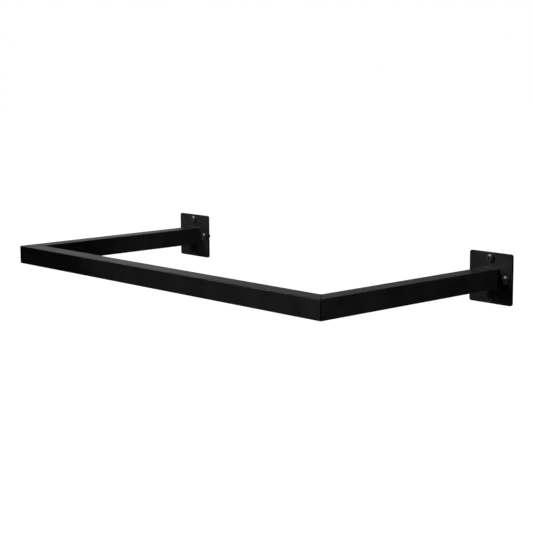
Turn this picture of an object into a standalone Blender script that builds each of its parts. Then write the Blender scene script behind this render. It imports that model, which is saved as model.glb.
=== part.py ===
"""Wall-mounted pull-up bar: a flat U of square steel tube on two screwed wall plates.

Frame: metres, +Z up. The origin lies on the wall's surface, midway between the two plates, level with the
tubes' axes. +X runs along the bar to the right and +Y points into the wall.
"""

import math

import bmesh
import bpy
from mathutils import Matrix, Vector

# Driving dimensions, in metres
BAR_WIDTH = 0.980  # over the outer faces of the two arms
BAR_REACH = 0.500  # from the wall to the front face of the bar
TUBE_SIDE = 0.040
TUBE_WALL = 0.0025
TUBE_EDGE_RADIUS = 0.0022

PLATE_WIDTH = 0.108
PLATE_HEIGHT = 0.104
PLATE_THICKNESS = 0.005
PLATE_CORNER_RADIUS = 0.005
PLATE_EDGE_BREAK = 0.0004
HOLE_DIAMETER = 0.011
SCREW_OFFSET = 0.040  # from the arm's axis to each screw's axis

SCREW_DIAMETER = 0.010
SCREW_LENGTH = 0.016  # under the head
SCREW_TIP_CHAMFER = 0.001
HEAD_DIAMETER = 0.0195
HEAD_HEIGHT = 0.006
HEAD_RIM = 0.0008  # straight part of the head's side, below the dome
RECESS_SPAN = 0.0100
RECESS_SLOT = 0.0019
RECESS_DEPTH = 0.0034
RECESS_TAPER = 0.55  # the recess's span at its floor, as a share of that at its mouth

MITRE_WELD_THICKNESS = 0.0016
PLATE_WELD_LEG = 0.0035
PLATE_WELD_BULGE = 0.0004

GAP = 0.0003  # kept between neighbouring solids
CORNER_STEPS = 4  # straight steps in each quarter round
ROUND_STEPS = 24  # straight steps in a full turn
DOME_STEPS = 6  # rings from the screw head's rim to its top
RECESS_CLEARANCE = 0.002  # how far the recess's cutter stands out of the dome

# Worked out from the driving dimensions
ARM_X = BAR_WIDTH / 2 - TUBE_SIDE / 2  # from the middle of the bar to an arm's axis
BAR_Y = TUBE_SIDE / 2 - BAR_REACH  # the bar's axis
PLATE_FRONT_Y = -PLATE_THICKNESS
MITRE_CUT = math.sqrt(2) * (MITRE_WELD_THICKNESS / 2 + GAP)  # tube left off along its axis at a mitre

SIDES = {"left": -1, "right": 1}

# Each screw's place on its plate, as steps outward and upward, and how far its cross recess is turned
SCREWS = {
    "top": (0, 1, 20),
    "bottom": (0, -1, 62),
    "outer": (1, 0, 38),
    "inner": (-1, 0, 75),
}


def clear_scene():
    for obj in list(bpy.data.objects):
        bpy.data.objects.remove(obj)


def paint(name, roughness):
    """Black powder coat or black oxide, as a Principled material."""
    material = bpy.data.materials.new(name)
    material.use_nodes = True
    shader = material.node_tree.nodes["Principled BSDF"]
    shader.inputs["Base Color"].default_value = (0.015, 0.015, 0.016, 1.0)
    shader.inputs["Metallic"].default_value = 0.0
    shader.inputs["Roughness"].default_value = roughness
    material.diffuse_color = (0.015, 0.015, 0.016, 1.0)
    return material


def add_object(name, mesh, material):
    obj = bpy.data.objects.new(name, mesh)
    bpy.context.scene.collection.objects.link(obj)
    if material:
        obj.data.materials.append(material)
    return obj


def mesh_from(name, bm):
    """The finished mesh, with its faces pointing out and its flat faces shaded flat."""
    bmesh.ops.recalc_face_normals(bm, faces=bm.faces)
    mesh = bpy.data.meshes.new(name)
    bm.to_mesh(mesh)
    bm.free()
    mesh.shade_smooth()
    mesh.set_sharp_from_angle(angle=math.radians(35))
    return mesh


def circle(radius):
    """Points round a circle, anticlockwise."""
    turns = [2 * math.pi * step / ROUND_STEPS for step in range(ROUND_STEPS)]
    return [Vector((radius * math.cos(turn), radius * math.sin(turn))) for turn in turns]


def rounded_rectangle(width, height, radius):
    """Points of the outline, anticlockwise, each with the outward direction there."""
    outline = []
    for corner in range(4):
        along = (1, -1, -1, 1)[corner]
        up = (1, 1, -1, -1)[corner]
        centre = Vector((along * (width / 2 - radius), up * (height / 2 - radius)))
        for step in range(CORNER_STEPS + 1):
            angle = math.radians(90) * (corner + step / CORNER_STEPS)
            outward = Vector((math.cos(angle), math.sin(angle)))
            outline.append((centre + radius * outward, outward))
    return outline


def tube_outlines():
    """The tube's outer and inner outlines, point for point."""
    inner_side = TUBE_SIDE - 2 * TUBE_WALL
    inner_radius = TUBE_EDGE_RADIUS / 3
    outer = rounded_rectangle(TUBE_SIDE, TUBE_SIDE, TUBE_EDGE_RADIUS)
    inner = rounded_rectangle(inner_side, inner_side, inner_radius)
    return [[point for point, _ in outline] for outline in (outer, inner)]


def bridge_closed_rings(bm, rings):
    """Joins the rings in turn, and the last to the first, which closes the body."""
    for ring, following in zip(rings, rings[1:] + rings[:1]):
        count = len(ring)
        for i in range(count):
            j = (i + 1) % count
            bm.faces.new((ring[i], ring[j], following[j], following[i]))


def tube_mesh(name, place, near_end, far_end):
    """A square tube. place turns (across, up, along) into a point, and each end is a function of across."""
    outer, inner = tube_outlines()
    bm = bmesh.new()
    rings = []
    for outline, end in ((outer, near_end), (outer, far_end), (inner, far_end), (inner, near_end)):
        rings.append([bm.verts.new(place(p.x, p.y, end(p.x))) for p in outline])
    bridge_closed_rings(bm, rings)
    return mesh_from(name, bm)


def front_bar(material):
    """Its section's across direction is +Y, so the mitres shorten it towards the wall."""

    def place(across, up, along):
        return (along, BAR_Y + across, up)

    def right_end(across):
        return ARM_X - across - MITRE_CUT

    def left_end(across):
        return -right_end(across)

    add_object("front_bar", tube_mesh("front_bar", place, left_end, right_end), material)


def arm(side, material):
    """Its section's across direction points away from the bar's middle, and its front end is mitred."""

    def place(across, up, along):
        return (SIDES[side] * (ARM_X + across), along, up)

    def front_end(across):
        return BAR_Y - across + MITRE_CUT

    def wall_end(across):
        return PLATE_FRONT_Y - GAP

    name = f"{side}_arm"
    add_object(name, tube_mesh(name, place, front_end, wall_end), material)


def mitre_weld(side, material):
    """A thin frame on the mitre plane, flush with the bar on one side of it and with the arm on the other."""
    half = MITRE_WELD_THICKNESS / 2 * math.sqrt(2)
    outer, inner = tube_outlines()
    bm = bmesh.new()

    def ring(outline, along_bar, along_arm):
        verts = []
        for p in outline:
            x = ARM_X + p.x - along_bar
            y = BAR_Y - p.x + along_arm
            verts.append(bm.verts.new((SIDES[side] * x, y, p.y)))
        return verts

    bridge_closed_rings(
        bm,
        [
            ring(outer, half, 0),
            ring(outer, 0, 0),
            ring(outer, 0, half),
            ring(inner, 0, half),
            ring(inner, 0, 0),
            ring(inner, half, 0),
        ],
    )
    name = f"{side}_mitre_weld"
    add_object(name, mesh_from(name, bm), material)


def plate_weld(side, material):
    """A fillet weld swept round the arm where it meets the plate."""
    outline = rounded_rectangle(TUBE_SIDE, TUBE_SIDE, TUBE_EDGE_RADIUS)
    middle = PLATE_WELD_LEG / 2 + PLATE_WELD_BULGE / math.sqrt(2)
    # Each section point is its distance from the tube's surface and its distance from the plate
    section = [(GAP, GAP), (PLATE_WELD_LEG, GAP), (middle, middle), (GAP, PLATE_WELD_LEG)]
    bm = bmesh.new()
    rings = []
    for from_tube, from_plate in section:
        ring = []
        for point, outward in outline:
            p = point + from_tube * outward
            ring.append(bm.verts.new((SIDES[side] * ARM_X + p.x, PLATE_FRONT_Y - from_plate, p.y)))
        rings.append(ring)
    bridge_closed_rings(bm, rings)
    name = f"{side}_plate_weld"
    add_object(name, mesh_from(name, bm), material)


def closed_loop(bm, points):
    """The edges of a closed line through the points, on the plate's front plane."""
    verts = [bm.verts.new((p.x, PLATE_FRONT_Y, p.y)) for p in points]
    return [bm.edges.new((a, b)) for a, b in zip(verts, verts[1:] + verts[:1])]


def screw_places(side):
    """Name, position on the plate and recess angle of each of a plate's screws."""
    for name, (outward, up, turn) in SCREWS.items():
        x = SIDES[side] * (ARM_X + outward * SCREW_OFFSET)
        yield name, x, up * SCREW_OFFSET, turn


def wall_plate(side, material):
    """The plate's outline and its four holes, filled and extruded back to the wall."""
    bm = bmesh.new()
    centre = Vector((SIDES[side] * ARM_X, 0))
    outline = rounded_rectangle(PLATE_WIDTH, PLATE_HEIGHT, PLATE_CORNER_RADIUS)
    edges = closed_loop(bm, [centre + point for point, _ in outline])
    for _, x, z, _ in screw_places(side):
        edges += closed_loop(bm, [Vector((x, z)) + point for point in circle(HOLE_DIAMETER / 2)])
    bmesh.ops.triangle_fill(bm, edges=edges, use_beauty=True)
    front = bm.faces[:]
    back = bmesh.ops.extrude_face_region(bm, geom=front)
    moved = [v for v in back["geom"] if isinstance(v, bmesh.types.BMVert)]
    bmesh.ops.translate(bm, vec=(0, PLATE_THICKNESS, 0), verts=moved)
    name = f"{side}_wall_plate"
    plate = add_object(name, mesh_from(name, bm), material)
    bevel = plate.modifiers.new("edge_break", "BEVEL")
    bevel.width = PLATE_EDGE_BREAK
    bevel.segments = 1
    bevel.limit_method = "ANGLE"
    bevel.angle_limit = math.radians(60)


def screw_profile():
    """Radius and height of the screw's turned shape, from its tip up to the rim of the dome's last ring."""
    shank = SCREW_DIAMETER / 2
    head = HEAD_DIAMETER / 2
    profile = [(shank - SCREW_TIP_CHAMFER, -SCREW_LENGTH), (shank, SCREW_TIP_CHAMFER - SCREW_LENGTH)]
    profile += [(shank, 0), (head, 0)]
    for step in range(DOME_STEPS):
        angle = math.radians(90) * step / DOME_STEPS
        height = HEAD_RIM + (HEAD_HEIGHT - HEAD_RIM) * math.sin(angle)
        profile.append((head * math.cos(angle), height))
    return profile


def stacked_body(levels):
    """A closed body through outlines stacked along Z. Each level is an outline and its height."""
    bm = bmesh.new()
    rings = [[bm.verts.new((p.x, p.y, height)) for p in outline] for outline, height in levels]
    count = len(rings[0])
    for lower, upper in zip(rings, rings[1:]):
        for i in range(count):
            j = (i + 1) % count
            bm.faces.new((lower[i], lower[j], upper[j], upper[i]))
    bm.faces.new(reversed(rings[0]))
    bm.faces.new(rings[-1])
    return bm


def screw_blank():
    """The turned screw, with its dome closed to a point."""
    bm = stacked_body([(circle(radius), height) for radius, height in screw_profile()])
    crown = max(bm.faces, key=lambda face: face.calc_center_median().z)
    bmesh.ops.poke(bm, faces=[crown], offset=HEAD_HEIGHT - crown.calc_center_median().z)
    return bm


def cross_outline(share):
    """The cross recess's outline, at a share of its size at the dome's top."""
    reach = RECESS_SPAN / 2 * share
    slot = RECESS_SLOT / 2 * share
    outline = []
    for quarter in range(4):
        turn = Matrix.Rotation(math.radians(90) * quarter, 2)
        outline += [turn @ Vector(corner) for corner in ((reach, -slot), (reach, slot), (slot, slot))]
    return outline


def recess_cutter():
    """A cross that tapers from above the dome down to the recess's floor."""
    mouth = 1 + RECESS_CLEARANCE / RECESS_DEPTH * (1 - RECESS_TAPER)
    floor_level = (cross_outline(RECESS_TAPER), HEAD_HEIGHT - RECESS_DEPTH)
    return stacked_body([floor_level, (cross_outline(mouth), HEAD_HEIGHT + RECESS_CLEARANCE)])


def screw_mesh():
    """The turned screw with the cross recess cut into its dome, as one mesh that every screw shares."""
    blank = add_object("screw_blank", mesh_from("screw_blank", screw_blank()), None)
    cutter = add_object("recess_cutter", mesh_from("recess_cutter", recess_cutter()), None)
    cut = blank.modifiers.new("recess", "BOOLEAN")
    cut.operation = "DIFFERENCE"
    cut.object = cutter
    bpy.context.view_layer.update()
    graph = bpy.context.evaluated_depsgraph_get()
    mesh = bpy.data.meshes.new_from_object(blank.evaluated_get(graph))
    mesh.name = "screw"
    bpy.data.objects.remove(blank)
    bpy.data.objects.remove(cutter)
    return mesh


def screws(side, mesh):
    """Four screws, heads towards the room, each resting on its plate's front face."""
    heads_forward = Matrix.Rotation(math.radians(90), 4, "X")
    for name, x, z, turn in screw_places(side):
        screw = add_object(f"{side}_{name}_screw", mesh, None)
        spin = Matrix.Rotation(math.radians(turn), 4, "Z")
        screw.matrix_world = Matrix.Translation((x, PLATE_FRONT_Y - GAP, z)) @ heads_forward @ spin


def main():
    clear_scene()
    powder_coat = paint("powder_coat", 0.45)
    weld_coat = paint("coated_weld", 0.5)
    screw_black = paint("screw_black", 0.35)
    screw = screw_mesh()
    screw.materials.append(screw_black)
    front_bar(powder_coat)
    for side in SIDES:
        arm(side, powder_coat)
        mitre_weld(side, weld_coat)
        wall_plate(side, powder_coat)
        plate_weld(side, weld_coat)
        screws(side, screw)


main()
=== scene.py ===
"""Looks of the wall-mounted pull-up bar: its tubes, welds, plates and screws, built round the CAD frame."""

import math

import bmesh
import bpy
from mathutils import Matrix, Vector, noise


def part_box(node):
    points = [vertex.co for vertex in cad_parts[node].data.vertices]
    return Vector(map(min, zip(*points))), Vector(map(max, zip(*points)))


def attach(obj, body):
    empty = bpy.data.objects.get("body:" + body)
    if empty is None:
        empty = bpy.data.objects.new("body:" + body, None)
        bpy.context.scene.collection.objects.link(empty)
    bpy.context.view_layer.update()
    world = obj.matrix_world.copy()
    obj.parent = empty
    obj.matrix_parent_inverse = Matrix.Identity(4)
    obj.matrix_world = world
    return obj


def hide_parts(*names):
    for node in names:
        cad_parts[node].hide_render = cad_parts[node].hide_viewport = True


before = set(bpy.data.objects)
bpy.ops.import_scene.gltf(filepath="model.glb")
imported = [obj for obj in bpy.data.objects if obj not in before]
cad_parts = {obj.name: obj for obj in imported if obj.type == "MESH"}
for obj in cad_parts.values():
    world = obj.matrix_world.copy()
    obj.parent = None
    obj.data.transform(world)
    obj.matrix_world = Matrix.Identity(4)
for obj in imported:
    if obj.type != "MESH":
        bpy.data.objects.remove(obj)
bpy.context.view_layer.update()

MM = 0.001
SIDES = {"left": -1, "right": 1}

# Details that the CAD frame leaves out
TUBE_WALL = 2.5 * MM
TUBE_EDGE_RADIUS = 2.2 * MM
TUBE_EDGE_STEPS = 8

MITRE_LEG = 2.4 * MM  # how far the ground weld reaches along each tube
MITRE_OVERLAP = 0.4 * MM  # how far it reaches over each tube's cut end
MITRE_DEPTH = 1.6 * MM
MITRE_CROWN = 0.09 * MM  # how far its middle stands proud of the tubes
MITRE_SINK = 0.04 * MM  # how far its edges lie below them
MITRE_GRAIN = 0.05 * MM  # height of the marks left by grinding
MITRE_GRAINS_PER_METRE = 260

FILLET_LEG = 3.5 * MM
FILLET_BULGE = 0.2 * MM
FILLET_RIPPLE = 0.15 * MM
FILLET_PITCH = 2.3 * MM  # from one ripple of the bead to the next
FILLET_LAG = 0.45  # how far a ripple's middle trails behind its ends, in pitches
FILLET_WANDER = 0.25 * MM  # how much the bead's width changes along it
FILLET_WANDERS_PER_METRE = 60
FILLET_ROOT = 0.4 * MM  # how far the bead reaches into the tube's wall

PLATE_CORNER_RADIUS = 5 * MM
SHEET_EDGE_RADIUS = 0.4 * MM  # the softened edges round a plate and its holes
SHEET_EDGE_STEPS = 4
HOLE_RADIUS = 5.5 * MM
HOLE_STEPS = 40

SCREW_TURNS = {"top": 20, "bottom": 62, "outer": 38, "inner": 75}  # degrees that each recess is turned
SCREW_STEPS = 64  # points round a screw: 16 to each quarter of the recess's outline
SCREW_RADIUS = 5 * MM
THREAD_PITCH = 1.5 * MM
THREAD_DEPTH = 0.92 * MM
THREAD_ROOT = SCREW_RADIUS - THREAD_DEPTH
TIP_RADIUS = SCREW_RADIUS - 1.2 * MM
NECK_Z = -0.5 * MM  # the thread runs out this far below the head
HEAD_RIM = 0.9 * MM  # height of the head's edge, below its dome
RECESS_REACH = 5.0 * MM
RECESS_HALF_SLOT = 0.95 * MM
RECESS_FILLET = 0.55 * MM
RECESS_DEPTH = 3.9 * MM


# ---------------------------------------------------------------- sizes read from the frame


def middle(node_name):
    low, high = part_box(node_name)
    return (low + high) / 2


def extent(node_name):
    low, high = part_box(node_name)
    return high - low


TUBE_SIDE = extent("front_bar").z
BAR_Y = middle("front_bar").y
ARM_X = middle("right_arm").x
PLATE_WIDTH = extent("right_wall_plate").x
PLATE_HEIGHT = extent("right_wall_plate").z
PLATE_FRONT_Y, PLATE_BACK_Y = (corner.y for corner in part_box("right_wall_plate"))
HEAD_FRONT_Y, SCREW_TIP_Y = (corner.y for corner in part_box("right_top_screw"))
HEAD_RADIUS = extent("right_top_screw").z / 2
HEAD_HEIGHT = PLATE_FRONT_Y - HEAD_FRONT_Y
SCREW_LENGTH = SCREW_TIP_Y - PLATE_FRONT_Y


# ---------------------------------------------------------------- mesh helpers


def finish_mesh(name, bm):
    """Turns a bmesh into a closed mesh whose normals point outward."""
    bmesh.ops.remove_doubles(bm, verts=bm.verts, dist=1e-6)
    bmesh.ops.recalc_face_normals(bm, faces=bm.faces)
    # A smooth face next to a flat one would borrow its normal, so the edge between them is sharp
    for edge in bm.edges:
        edge.smooth = all(face.smooth for face in edge.link_faces)
    mesh = bpy.data.meshes.new(name)
    bm.to_mesh(mesh)
    bm.free()
    return mesh


def add_piece(name, mesh, material):
    """Makes a piece that rides on the object's only body and stands for the CAD node of the same name."""
    piece = bpy.data.objects.new(name, mesh)
    bpy.context.scene.collection.objects.link(piece)
    if not mesh.materials:
        mesh.materials.append(material)
    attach(piece, "root")
    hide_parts(name)
    return piece


def arc(centre, radius, start, end, steps):
    """Points on an arc, angles in degrees, each with its outward direction."""
    points = []
    for step in range(steps + 1):
        angle = math.radians(start + (end - start) * step / steps)
        outward = Vector((math.cos(angle), math.sin(angle)))
        points.append((centre + radius * outward, outward))
    return points


def rounded_rectangle(width, height, radius, corner_steps, side_steps=1):
    """Outline points, anticlockwise from the right side, each with its outward direction."""
    corners = []
    for quarter, (along, up) in enumerate(((1, 1), (-1, 1), (-1, -1), (1, -1))):
        centre = Vector((along * (width / 2 - radius), up * (height / 2 - radius)))
        corners.append(arc(centre, radius, 90 * quarter, 90 * quarter + 90, corner_steps))
    outline = []
    for corner, following in zip(corners, corners[1:] + corners[:1]):
        outline += corner
        start, outward = corner[-1]
        end = following[0][0]
        outline += [(start.lerp(end, step / side_steps), outward) for step in range(1, side_steps)]
    return outline


def bridge(bm, ring, following, ring_above=None, following_above=None):
    """Faces between two rings that close on themselves, or that climb into the two rings above."""
    end_pair = ((ring_above or ring)[0], (following_above or following)[0])
    pairs = list(zip(ring, following))
    faces = []
    for (corner, corner_beyond), (next_corner, next_beyond) in zip(pairs, pairs[1:] + [end_pair]):
        face = bm.faces.new((corner, next_corner, next_beyond, corner_beyond))
        face.smooth = True
        faces.append(face)
    return faces


# ---------------------------------------------------------------- materials


def node(tree, kind, **settings):
    made = tree.nodes.new(kind)
    for key, value in settings.items():
        setattr(made, key, value)
    return made


def noise_texture(tree, coordinates, scale, detail):
    texture = node(tree, "ShaderNodeTexNoise")
    texture.inputs["Scale"].default_value = scale
    texture.inputs["Detail"].default_value = detail
    texture.inputs["Roughness"].default_value = 0.55
    tree.links.new(coordinates, texture.inputs["Vector"])
    return texture.outputs["Fac"]


def map_range(tree, value, low, high, to_low, to_high):
    ramp = node(tree, "ShaderNodeMapRange")
    ramp.inputs["From Min"].default_value = low
    ramp.inputs["From Max"].default_value = high
    ramp.inputs["To Min"].default_value = to_low
    ramp.inputs["To Max"].default_value = to_high
    tree.links.new(value, ramp.inputs["Value"])
    return ramp.outputs["Result"]


def bump(tree, height, distance, under=None):
    made = node(tree, "ShaderNodeBump")
    made.inputs["Distance"].default_value = distance
    tree.links.new(height, made.inputs["Height"])
    if under:
        tree.links.new(under, made.inputs["Normal"])
    return made.outputs["Normal"]


def edge_wear_and_highlight(tree, clouds):
    """1 on edges, where the coat is thinner and more polished and is painted lighter, partly as wear and
    partly as a painted highlight, and 0 on the flats.
    """
    rounded = node(tree, "ShaderNodeBevel", samples=4)
    rounded.inputs["Radius"].default_value = 1.2 * MM
    flatness = node(tree, "ShaderNodeVectorMath", operation="DOT_PRODUCT")
    tree.links.new(rounded.outputs["Normal"], flatness.inputs[0])
    tree.links.new(node(tree, "ShaderNodeNewGeometry").outputs["Normal"], flatness.inputs[1])
    edges = map_range(tree, flatness.outputs["Value"], 0.995, 0.90, 0.0, 1.0)
    wear_and_sheen = node(tree, "ShaderNodeMath", operation="MULTIPLY")
    tree.links.new(edges, wear_and_sheen.inputs[0])
    tree.links.new(map_range(tree, clouds, 0.35, 0.65, 0.3, 1.0), wear_and_sheen.inputs[1])
    return wear_and_sheen.outputs["Value"]


def black_coat(name, roughness, shine, grain_scale, grain_height, peel_height):
    """Black satin coat: fine grain, slight orange peel, cloudy gloss, and faintly polished edges painted
    lighter, partly as wear and partly as a painted highlight.
    """
    material = bpy.data.materials.new(name)
    material.use_nodes = True
    tree = material.node_tree
    shader = tree.nodes["Principled BSDF"]
    shader.inputs["Specular IOR Level"].default_value = shine
    coordinates = node(tree, "ShaderNodeTexCoord").outputs["Object"]
    clouds = noise_texture(tree, coordinates, 18.0, detail=4.0)
    grain = noise_texture(tree, coordinates, grain_scale, detail=2.0)
    peel = noise_texture(tree, coordinates, 420.0, detail=1.0)
    wear_and_sheen = edge_wear_and_highlight(tree, clouds)

    tone = node(tree, "ShaderNodeMix", data_type="RGBA")
    tone.inputs["A"].default_value = (0.010, 0.010, 0.0105, 1.0)
    tone.inputs["B"].default_value = (0.017, 0.017, 0.018, 1.0)
    tree.links.new(map_range(tree, clouds, 0.3, 0.7, 0.0, 1.0), tone.inputs["Factor"])
    # Edges are painted lighter: partly wear, partly a painted highlight along them
    edge_wear_and_highlight_tone = node(tree, "ShaderNodeMix", data_type="RGBA")
    edge_wear_and_highlight_tone.inputs["B"].default_value = (0.037, 0.037, 0.040, 1.0)
    tree.links.new(wear_and_sheen, edge_wear_and_highlight_tone.inputs["Factor"])
    tree.links.new(tone.outputs["Result"], edge_wear_and_highlight_tone.inputs["A"])
    tree.links.new(edge_wear_and_highlight_tone.outputs["Result"], shader.inputs["Base Color"])

    polish = node(tree, "ShaderNodeMath", operation="MULTIPLY_ADD")
    polish.inputs[1].default_value = -0.08
    tree.links.new(wear_and_sheen, polish.inputs[0])
    tree.links.new(map_range(tree, clouds, 0.3, 0.7, roughness - 0.02, roughness + 0.03), polish.inputs[2])
    tree.links.new(polish.outputs["Value"], shader.inputs["Roughness"])

    tree.links.new(bump(tree, grain, grain_height, bump(tree, peel, peel_height)), shader.inputs["Normal"])
    return material


def make_materials():
    return {
        "powder_coat": black_coat("powder_coat", 0.42, 0.5, 2400.0, 0.03 * MM, 0.02 * MM),
        "coated_weld": black_coat("coated_weld", 0.58, 0.3, 1900.0, 0.04 * MM, 0.05 * MM),
        "screw_black": black_coat("screw_black", 0.42, 1.0, 3200.0, 0.01 * MM, 0.01 * MM),
    }


# ---------------------------------------------------------------- tubes


def tube(name, place, near_end, far_end, material):
    """A square tube with rounded edges. Each end is a function of a point's place across the section."""
    bm = bmesh.new()
    outer = rounded_rectangle(TUBE_SIDE, TUBE_SIDE, TUBE_EDGE_RADIUS, TUBE_EDGE_STEPS)
    inside = TUBE_SIDE - 2 * TUBE_WALL
    inner = rounded_rectangle(inside, inside, TUBE_EDGE_RADIUS / 3, TUBE_EDGE_STEPS)
    rings = []
    for outline, end in ((outer, near_end), (outer, far_end), (inner, far_end), (inner, near_end)):
        rings.append([bm.verts.new(place(p.x, p.y, end(p.x))) for p, _ in outline])
    for strip, (ring, following) in enumerate(zip(rings, rings[1:] + rings[:1])):
        cut_end = strip % 2 == 1
        for i, face in enumerate(bridge(bm, ring, following)):
            flat_side = i % (TUBE_EDGE_STEPS + 1) == TUBE_EDGE_STEPS
            face.smooth = not cut_end and not flat_side
    return add_piece(name, finish_mesh(name, bm), material)


def make_tubes(material):
    cut = MITRE_LEG - MITRE_OVERLAP

    def bar_end(across):
        return ARM_X - across - cut

    tubes = [
        tube(
            "front_bar",
            lambda across, up, along: (along, BAR_Y + across, up),
            lambda across: -bar_end(across),
            bar_end,
            material,
        )
    ]
    for side, sign in SIDES.items():
        arm = tube(
            f"{side}_arm",
            lambda across, up, along: (sign * (ARM_X + across), along, up),
            lambda across: BAR_Y - across + cut,
            lambda across: PLATE_FRONT_Y,
            material,
        )
        tubes.append(arm)
    return tubes


# ---------------------------------------------------------------- welds


def mitre_point(across, up, along_bar, along_arm):
    """A point in the mitre's cut, moved along the bar or along the arm."""
    return Vector((ARM_X + across - along_bar, BAR_Y - across + along_arm, up))


def mitre_column(point, outward):
    """The weld's section at one point of the tubes' outline, from the bar's side over to the arm's side."""
    steps = 12
    # 1 on the tubes' upright sides, where the section goes round the corner, and 0 on the level ones
    upright = outward.x**2
    off_bar = Vector((0, -outward.x, outward.y))
    off_arm = Vector((outward.x, 0, outward.y))
    column = []
    for step in range(steps + 1):
        # From -1 at the bar's side to 1 at the arm's side
        side = 2 * step / steps - 1
        turn = math.radians(45) * (side + 1)
        along_bar = MITRE_LEG * ((1 - upright) * max(-side, 0) + upright * (1 - math.sin(turn)))
        along_arm = MITRE_LEG * ((1 - upright) * max(side, 0) + upright * (1 - math.cos(turn)))
        normal = (off_bar * (1 - side) + off_arm * (1 + side)).normalized()
        base = mitre_point(point.x, point.y, along_bar, along_arm)
        grain = MITRE_GRAIN * noise.noise(base * MITRE_GRAINS_PER_METRE)
        height = (MITRE_CROWN + grain) * (1 - side * side) - MITRE_SINK * side * side
        column.append(base + normal * height)
    inset = point - outward * MITRE_DEPTH
    for side in (1, 0, -1):
        column.append(mitre_point(inset.x, inset.y, MITRE_LEG * max(-side, 0), MITRE_LEG * max(side, 0)))
    return column


def mitre_weld(side, sign, material):
    """A mitre joint's weld, ground nearly flush. It rounds the outer corner and fills the inner one."""
    bm = bmesh.new()
    columns = []
    outline = rounded_rectangle(TUBE_SIDE, TUBE_SIDE, TUBE_EDGE_RADIUS, corner_steps=6, side_steps=26)
    for point, outward in outline:
        columns.append([bm.verts.new((sign * p.x, p.y, p.z)) for p in mitre_column(point, outward)])
    for column, following in zip(columns, columns[1:] + columns[:1]):
        bridge(bm, column, following)
    name = f"{side}_mitre_weld"
    return add_piece(name, finish_mesh(name, bm), material)


def fillet_column(point, outward, travelled, leg):
    """The bead's section, from the plate to the tube and back: places on the plate and distances off it."""
    steps = 8
    column = []
    for step in range(steps + 1):
        share = step / steps
        swell = math.sin(math.pi * share)
        ripple = math.cos(2 * math.pi * (travelled / FILLET_PITCH + FILLET_LAG * swell)) * swell
        bulge = (FILLET_BULGE + FILLET_RIPPLE * ripple) * swell * math.sin(math.radians(45))
        column.append((point + outward * (leg * (1 - share) + bulge), leg * share + bulge))
    root = point - outward * FILLET_ROOT
    return column + [(root, FILLET_LEG), (root, 0.0)]


def plate_weld(side, sign, material):
    """A rippled fillet bead laid round the arm at its plate."""
    bm = bmesh.new()
    outline = rounded_rectangle(TUBE_SIDE, TUBE_SIDE, TUBE_EDGE_RADIUS, corner_steps=8, side_steps=48)
    columns = []
    travelled = 0.0
    previous = outline[-1][0]
    for point, outward in outline:
        travelled += (point - previous).length
        previous = point
        # Each side's bead wanders in its own way
        wander = noise.noise(Vector((travelled * FILLET_WANDERS_PER_METRE, sign * 3.7, 0.0)))
        column = fillet_column(point, outward, travelled, FILLET_LEG + FILLET_WANDER * wander)
        columns.append([bm.verts.new((sign * ARM_X + p.x, PLATE_FRONT_Y - off, p.y)) for p, off in column])
    for column, following in zip(columns, columns[1:] + columns[:1]):
        bridge(bm, column, following)
    name = f"{side}_plate_weld"
    return add_piece(name, finish_mesh(name, bm), material)


# ---------------------------------------------------------------- wall plates


def edge_rings(bm, outline, grow):
    """Rings round a softened edge, front to back. grow is 1 on the plate's outside and -1 in a hole."""
    levels = []
    for step in range(SHEET_EDGE_STEPS + 1):
        turn = math.radians(90) * step / SHEET_EDGE_STEPS
        levels.append((SHEET_EDGE_RADIUS * (1 - math.sin(turn)), SHEET_EDGE_RADIUS * (1 - math.cos(turn))))
    thickness = PLATE_BACK_Y - PLATE_FRONT_Y
    levels += [(inset, thickness - depth) for inset, depth in reversed(levels)]
    rings = []
    for inset, depth in levels:
        ring = [point - outward * grow * inset for point, outward in outline]
        rings.append([bm.verts.new((p.x, PLATE_FRONT_Y + depth, p.y)) for p in ring])
    for ring, following in zip(rings, rings[1:]):
        bridge(bm, ring, following)
    return rings[0], rings[-1]


def ring_edges(bm, ring):
    return [bm.edges.get((a, b)) for a, b in zip(ring, ring[1:] + ring[:1])]


def wall_plate(side, sign, material):
    """A plate with softened edges, and a hole for each of its screws."""
    bm = bmesh.new()
    centre = Vector((sign * ARM_X, 0))
    outline = rounded_rectangle(PLATE_WIDTH, PLATE_HEIGHT, PLATE_CORNER_RADIUS, corner_steps=10)
    rims = [edge_rings(bm, [(centre + point, outward) for point, outward in outline], 1)]
    for screw in SCREW_TURNS:
        at = middle(f"{side}_{screw}_screw")
        hole = arc(Vector((at.x, at.z)), HOLE_RADIUS, 0, 360, HOLE_STEPS)[:-1]
        rims.append(edge_rings(bm, hole, -1))
    for rings in zip(*rims):
        edges = [edge for ring in rings for edge in ring_edges(bm, ring)]
        filled = bmesh.ops.triangle_fill(bm, edges=edges, use_beauty=True)
        for item in filled["geom"]:
            if isinstance(item, bmesh.types.BMFace):
                item.smooth = False
    name = f"{side}_wall_plate"
    return add_piece(name, finish_mesh(name, bm), material)


# ---------------------------------------------------------------- screws


def screw_angles():
    return [2 * math.pi * i / SCREW_STEPS for i in range(SCREW_STEPS)]


def circle(radius, z):
    return [(radius * math.cos(a), radius * math.sin(a), z) for a in screw_angles()]


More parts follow.
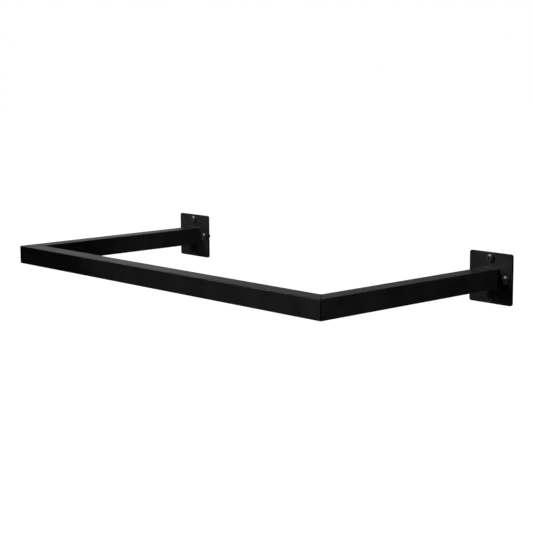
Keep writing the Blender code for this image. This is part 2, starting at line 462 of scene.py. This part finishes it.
def thread_rings():
    """Rings up a right-hand thread, and how many make a turn. Each ring climbs a pitch on its way round."""
    profile = ((0, THREAD_ROOT), (1 / 4, THREAD_ROOT), (9 / 16, SCREW_RADIUS), (11 / 16, SCREW_RADIUS))
    rings = []
    for turn in range(-1, math.ceil(SCREW_LENGTH / THREAD_PITCH) + 2):
        for phase, radius in profile:
            ring = []
            for a in screw_angles():
                z = (turn + phase + a / (2 * math.pi)) * THREAD_PITCH - SCREW_LENGTH
                z = min(max(z, -SCREW_LENGTH), NECK_Z)
                # The crest rises over the tip's chamfer and runs out at the neck
                r = min(radius, TIP_RADIUS + z + SCREW_LENGTH, THREAD_ROOT + NECK_Z - z)
                ring.append((r * math.cos(a), r * math.sin(a), z))
            rings.append(ring)
    return rings, len(profile)


def recess_outline():
    """The cross recess's mouth, with rounded arm ends and filleted inner corners: SCREW_STEPS points."""
    tip_radius = RECESS_HALF_SLOT * 0.8
    tip_centre = Vector((RECESS_REACH - tip_radius, RECESS_HALF_SLOT - tip_radius))
    tip = [p for p, _ in arc(tip_centre, tip_radius, 0, 90, 3)]
    corner_at = RECESS_HALF_SLOT + RECESS_FILLET
    corner = [p for p, _ in arc(Vector((corner_at, corner_at)), RECESS_FILLET, 270, 180, 4)]
    half_arm = [Vector((RECESS_REACH, 0))] + tip + [tip[-1].lerp(corner[0], 0.5)]
    # The next arm's side is the same, mirrored in the diagonal
    quarter = half_arm + corner + [Vector((p.y, p.x)) for p in reversed(half_arm[1:])]
    outline = []
    for turn in range(4):
        rotation = Matrix.Rotation(math.radians(90) * turn, 2)
        outline += [rotation @ p for p in quarter]
    return outline


def dome_z(radius):
    """Height of the dome above the underside of the head, at a distance from the screw's axis."""
    share = min(radius / HEAD_RADIUS, 1.0)
    return HEAD_RIM + (HEAD_HEIGHT - HEAD_RIM) * math.sqrt(1 - share * share)


def head_rings():
    """Rings from the underside's edge over the dome, into the recess and down its tapering walls."""
    mouth = recess_outline()
    lip = 1.06  # the dome ends this much outside the mouth, and a softened lip leads into it
    rings = [circle(HEAD_RADIUS - 0.3 * MM, 0), circle(HEAD_RADIUS - 0.08 * MM, 0.09 * MM)]
    rings.append(circle(HEAD_RADIUS, 0.3 * MM))
    for share in (0.02, 0.06, 0.14, 0.26, 0.40, 0.55, 0.70, 0.84, 0.93):
        ring = []
        for (x, y, _), target in zip(circle(HEAD_RADIUS, 0), mouth):
            p = Vector((x, y)).lerp(target * lip, share)
            ring.append((p.x, p.y, dome_z(p.length)))
        rings.append(ring)
    for scale, drop in ((lip, 0.0), (1.02, 0.05 * MM), (0.98, 0.22 * MM)):
        rings.append([(p.x * scale, p.y * scale, dome_z(p.length * scale) - drop) for p in mouth])
    for scale, drop in ((0.86, 1.3 * MM), (0.72, 2.5 * MM), (0.62, 3.3 * MM), (0.50, 3.5 * MM)):
        rings.append([(p.x * scale, p.y * scale, HEAD_HEIGHT - drop) for p in mouth])
    return rings


def screw_mesh():
    """One screw along +Z, with its head's underside at Z = 0, its thread and its cross recess."""
    bm = bmesh.new()

    def vertices(rings):
        return [[bm.verts.new(point) for point in ring] for ring in rings]

    rings, rings_per_turn = thread_rings()
    thread = vertices(rings)
    above = thread[rings_per_turn:]
    for ring, following, ring_above, following_above in zip(thread, thread[1:], above, above[1:]):
        bridge(bm, ring, following, ring_above, following_above)
    thread_end = thread[-rings_per_turn - 1]
    tip = vertices([circle(TIP_RADIUS / 2, -SCREW_LENGTH)])[0]
    bridge(bm, tip, thread[0])
    neck = [circle(THREAD_ROOT, NECK_Z / 2), circle(SCREW_RADIUS - THREAD_DEPTH / 2, 0)]
    head = [thread_end] + vertices(neck + head_rings())
    for lower, upper in zip(head, head[1:]):
        bridge(bm, lower, upper)
    for ring, z in ((tip, -SCREW_LENGTH), (head[-1], HEAD_HEIGHT - RECESS_DEPTH)):
        centre = bm.verts.new((0, 0, z))
        for a, b in zip(ring, ring[1:] + ring[:1]):
            bm.faces.new((a, b, centre)).smooth = True
    # Only the first points of the last turn's rings are used
    bmesh.ops.delete(bm, geom=[v for v in bm.verts if not v.link_faces], context="VERTS")
    mesh = finish_mesh("screw", bm)
    mesh.set_sharp_from_angle(angle=math.radians(40))
    return mesh


def make_screws(material):
    mesh = screw_mesh()
    heads_forward = Matrix.Rotation(math.radians(90), 4, "X")
    pieces = []
    for side in SIDES:
        for screw, turned in SCREW_TURNS.items():
            name = f"{side}_{screw}_screw"
            at = middle(name)
            placed = mesh.copy()
            spin = Matrix.Rotation(math.radians(turned), 4, "Z")
            placed.transform(Matrix.Translation((at.x, PLATE_FRONT_Y, at.z)) @ heads_forward @ spin)
            pieces.append(add_piece(name, placed, material))
    return pieces


# ---------------------------------------------------------------- stage, light and camera


def make_floor():
    bm = bmesh.new()
    bmesh.ops.create_grid(bm, x_segments=1, y_segments=1, size=30.0)
    mesh = finish_mesh("floor", bm)
    floor = bpy.data.objects.new("floor", mesh)
    floor.location.z = -1.1
    bpy.context.scene.collection.objects.link(floor)
    material = bpy.data.materials.new("floor")
    material.use_nodes = True
    shader = material.node_tree.nodes["Principled BSDF"]
    shader.inputs["Base Color"].default_value = (0.9, 0.9, 0.9, 1.0)
    shader.inputs["Roughness"].default_value = 0.9
    shader.inputs["Emission Color"].default_value = (1.0, 1.0, 1.0, 1.0)
    shader.inputs["Emission Strength"].default_value = 1.0
    mesh.materials.append(material)
    # The dark object would mirror the bright floor, so only the camera sees it
    floor.visible_glossy = False
    floor.visible_diffuse = False


def place_light(data, location, target):
    """Adds a lamp that points at its target. It lights the object but isn't seen itself."""
    light = bpy.data.objects.new(data.name, data)
    light.location = location
    direction = Vector(target) - Vector(location)
    light.rotation_euler = direction.to_track_quat("-Z", "Y").to_euler()
    light.visible_camera = False
    bpy.context.scene.collection.objects.link(light)
    return light


def softbox(name, location, target, width, height, power):
    data = bpy.data.lights.new(name, "AREA")
    data.shape = "RECTANGLE"
    data.size = width
    data.size_y = height
    data.energy = power
    return place_light(data, location, target)


def spotlight(name, location, target, half_angle, blend, radius, power):
    data = bpy.data.lights.new(name, "SPOT")
    data.spot_size = 2 * math.radians(half_angle)
    data.spot_blend = blend
    data.shadow_soft_size = radius
    data.energy = power
    return place_light(data, location, target)


def light_only(light, pieces):
    """Lets a lamp light these pieces and no others."""
    lit = bpy.data.collections.new(f"lit_by_{light.name}")
    for piece in pieces:
        lit.objects.link(piece)
    light.light_linking.receiver_collection = lit


def make_lights(tubes, screws, wall_pieces):
    """Soft studio light: a key from high on the front left, softboxes behind on the left, and fills."""
    centre = (0.0, -0.25, 0.0)
    key_place = (-1.75, -3.0, 2.7)
    softbox("key", key_place, (0.0, -0.1, 0.0), 0.5, 0.5, 7.0)
    # The key's beam is aimed above the object. Its lower edge falls across the arms, so the wall plates
    # are lit more than the front bar.
    spotlight("key_beam", key_place, (-0.686, -0.26, 2.098), 30.0, 0.10, 0.25, 400.0)
    # One draws the bright line along the bar's upper edge, the other the glints on the screw heads
    light_only(softbox("edge", (-2.4, -1.0, 1.8), (0.0, -0.5, 0.0), 0.5, 0.5, 14.0), tubes)
    light_only(softbox("glint", key_place, (0.0, 0.0, 0.0), 0.5, 0.5, 40.0), screws)

    # Low enough for the upper faces to mirror them
    softbox("back_left", (-3.2, 2.6, 1.0), centre, 2.5, 1.2, 4.2)
    softbox("left", (-3.2, 1.3, 0.75), centre, 1.6, 0.7, 1.8)

    # Fills that light the coat without a glare. The front one ends softly on the left part of the bar,
    # and the low ones light the faces that look back and left.
    front = spotlight("front_fill", (1.62, -2.38, 0.35), (0.553, 0.317, -0.214), 24.0, 0.18, 0.02, 150.0)
    light_only(front, tubes)
    wall = softbox("wall_fill", (-0.3, -2.6, 0.2), (-0.3, 0.0, 0.0), 0.6, 0.6, 42.0)
    light_only(wall, wall_pieces)
    left = softbox("low_left", (-3.0, 1.0, -0.8), centre, 1.0, 0.5, 60.0)
    back_left = softbox("low_back_left", (-2.4, 2.0, -0.6), centre, 1.6, 0.6, 80.0)
    back = softbox("low_back", (-0.1, 3.0, -0.6), centre, 1.6, 0.5, 100.0)
    for fill in (front, wall, left, back_left, back):
        fill.visible_glossy = False


def make_world():
    """White to the camera. To everything else it is dark, but for a dim glow from above and below."""
    world = bpy.data.worlds.new("studio")
    bpy.context.scene.world = world
    world.use_nodes = True
    tree = world.node_tree
    tree.nodes.clear()
    seen = node(tree, "ShaderNodeBackground")
    seen.inputs["Color"].default_value = (1.0, 1.0, 1.0, 1.0)
    studio = node(tree, "ShaderNodeBackground")
    direction = node(tree, "ShaderNodeSeparateXYZ")
    tree.links.new(node(tree, "ShaderNodeTexCoord").outputs["Generated"], direction.inputs[0])
    steepness = node(tree, "ShaderNodeMath", operation="ABSOLUTE")
    tree.links.new(direction.outputs["Z"], steepness.inputs[0])
    glow = map_range(tree, steepness.outputs["Value"], 0.5, 0.8, 0.0, 0.2)
    tree.links.new(glow, studio.inputs["Strength"])
    mix = node(tree, "ShaderNodeMixShader")
    tree.links.new(node(tree, "ShaderNodeLightPath").outputs["Is Camera Ray"], mix.inputs["Fac"])
    tree.links.new(studio.outputs[0], mix.inputs[1])
    tree.links.new(seen.outputs[0], mix.inputs[2])
    tree.links.new(mix.outputs[0], node(tree, "ShaderNodeOutputWorld").inputs["Surface"])


def make_camera():
    data = bpy.data.cameras.new("camera")
    data.sensor_width = 36.0
    data.lens = 94.28
    camera = bpy.data.objects.new("camera", data)
    place = Matrix.Translation((2.2235, -2.19045, 0.45147))
    turn_left = Matrix.Rotation(0.8372, 4, "Z")
    look_down = Matrix.Rotation(math.radians(90) - 0.1525, 4, "X")
    roll = Matrix.Rotation(-0.0075, 4, "Z")
    camera.matrix_world = place @ turn_left @ look_down @ roll
    bpy.context.scene.collection.objects.link(camera)
    bpy.context.scene.camera = camera


def main():
    materials = make_materials()
    tubes = make_tubes(materials["powder_coat"])
    screws = make_screws(materials["screw_black"])
    wall_pieces = list(screws)
    for side, sign in SIDES.items():
        mitre_weld(side, sign, materials["coated_weld"])
        wall_pieces.append(plate_weld(side, sign, materials["coated_weld"]))
        wall_pieces.append(wall_plate(side, sign, materials["powder_coat"]))
    make_floor()
    make_world()
    make_lights(tubes, screws, wall_pieces)
    make_camera()
    bpy.context.scene.view_settings.view_transform = "Standard"


main()
